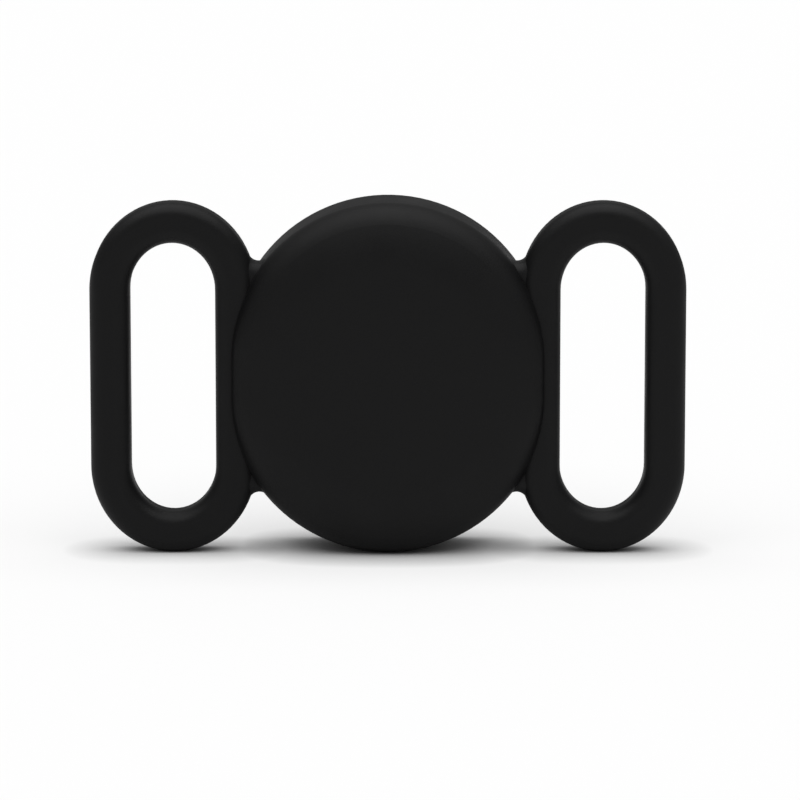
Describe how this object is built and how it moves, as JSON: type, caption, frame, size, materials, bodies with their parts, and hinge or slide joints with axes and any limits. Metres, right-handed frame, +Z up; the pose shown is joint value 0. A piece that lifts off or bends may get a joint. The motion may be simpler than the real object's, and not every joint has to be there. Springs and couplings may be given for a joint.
{
  "type": "tracker tag holder",
  "caption": "Matte black disc-shaped holder for a round tracker tag, with a strap loop on each side and a twist-off rear lid.",
  "frame": {"origin": "middle of the footprint, on the surface that the holder stands on", "axes": "+X along the strap, +Y from the closed front to the lid, +Z up"},
  "size_m": [0.0714, 0.0134, 0.0424],
  "materials": {
    "holder_black": "matte, fine moulded texture",
    "lid_black": "matte, fine moulded texture",
    "seal_rubber": "smooth soft rubber",
    "pad_foam": "closed-cell foam",
    "tag_white": "glossy",
    "coil_copper": "lacquered copper wire",
    "magnet_nickel": "nickel plated",
    "yoke_steel": "plated",
    "carrier_grey": "matte",
    "antenna_gold": "plated",
    "board_green": "solder mask",
    "can_steel": "tinned",
    "chip_black": "matte epoxy",
    "tray_white": "satin",
    "contact_gold": "plated spring sheet",
    "cell_steel": "nickel plated",
    "gasket_grey": "translucent",
    "cover_ring_grey": "matte",
    "cover_steel": "polished stainless"
  },
  "bodies": {
    "holder": {"holder_body": "holder_black"},
    "seal": {"lid_seal": "seal_rubber"},
    "lid": {"rear_lid": "lid_black", "lid_pad": "pad_foam"},
    "tag": {"tag_front_shell": "tag_white", "voice_coil": "coil_copper", "speaker_magnet": "magnet_nickel", "speaker_yoke": "yoke_steel", "antenna_carrier": "carrier_grey", "antenna_ring": "antenna_gold", "circuit_board": "board_green", "shield_cans": "can_steel", "board_chips": "chip_black", "battery_tray": "tray_white", "positive_contacts": "contact_gold", "negative_contact": "contact_gold", "coin_cell_can": "cell_steel", "coin_cell_gasket": "gasket_grey", "coin_cell_cap": "cell_steel"},
    "tag_cover": {"cover_ring": "cover_ring_grey", "cover_seal": "seal_rubber", "battery_cover": "cover_steel"}
  },
  "joints": [
    {"name": "lid_lift", "type": "slide", "parent": "holder", "child": "seal", "axis": [0, 1, 0], "range_m": [0, 0.0181]},
    {"name": "lid_turn", "type": "hinge", "parent": "seal", "child": "lid", "pos_m": [0, 0, 0.0212], "axis": [0, 1, 0], "range_deg": [0, 540]},
    {"name": "tag_lift", "type": "slide", "parent": "holder", "child": "tag", "axis": [0, 1, 0], "range_m": [0, 0.0091]},
    {"name": "cover_twist", "type": "hinge", "parent": "tag", "child": "tag_cover", "pos_m": [0, 0, 0.0212], "axis": [0, 1, 0], "range_deg": [0, 25]}
  ],
  "couplings": [
    {"joint": "lid_lift", "follows": "lid_turn", "m_per_rad": 0.0019099},
    {"joint": "tag_lift", "follows": "lid_turn", "m_per_rad": 0.00095493}
  ]
}
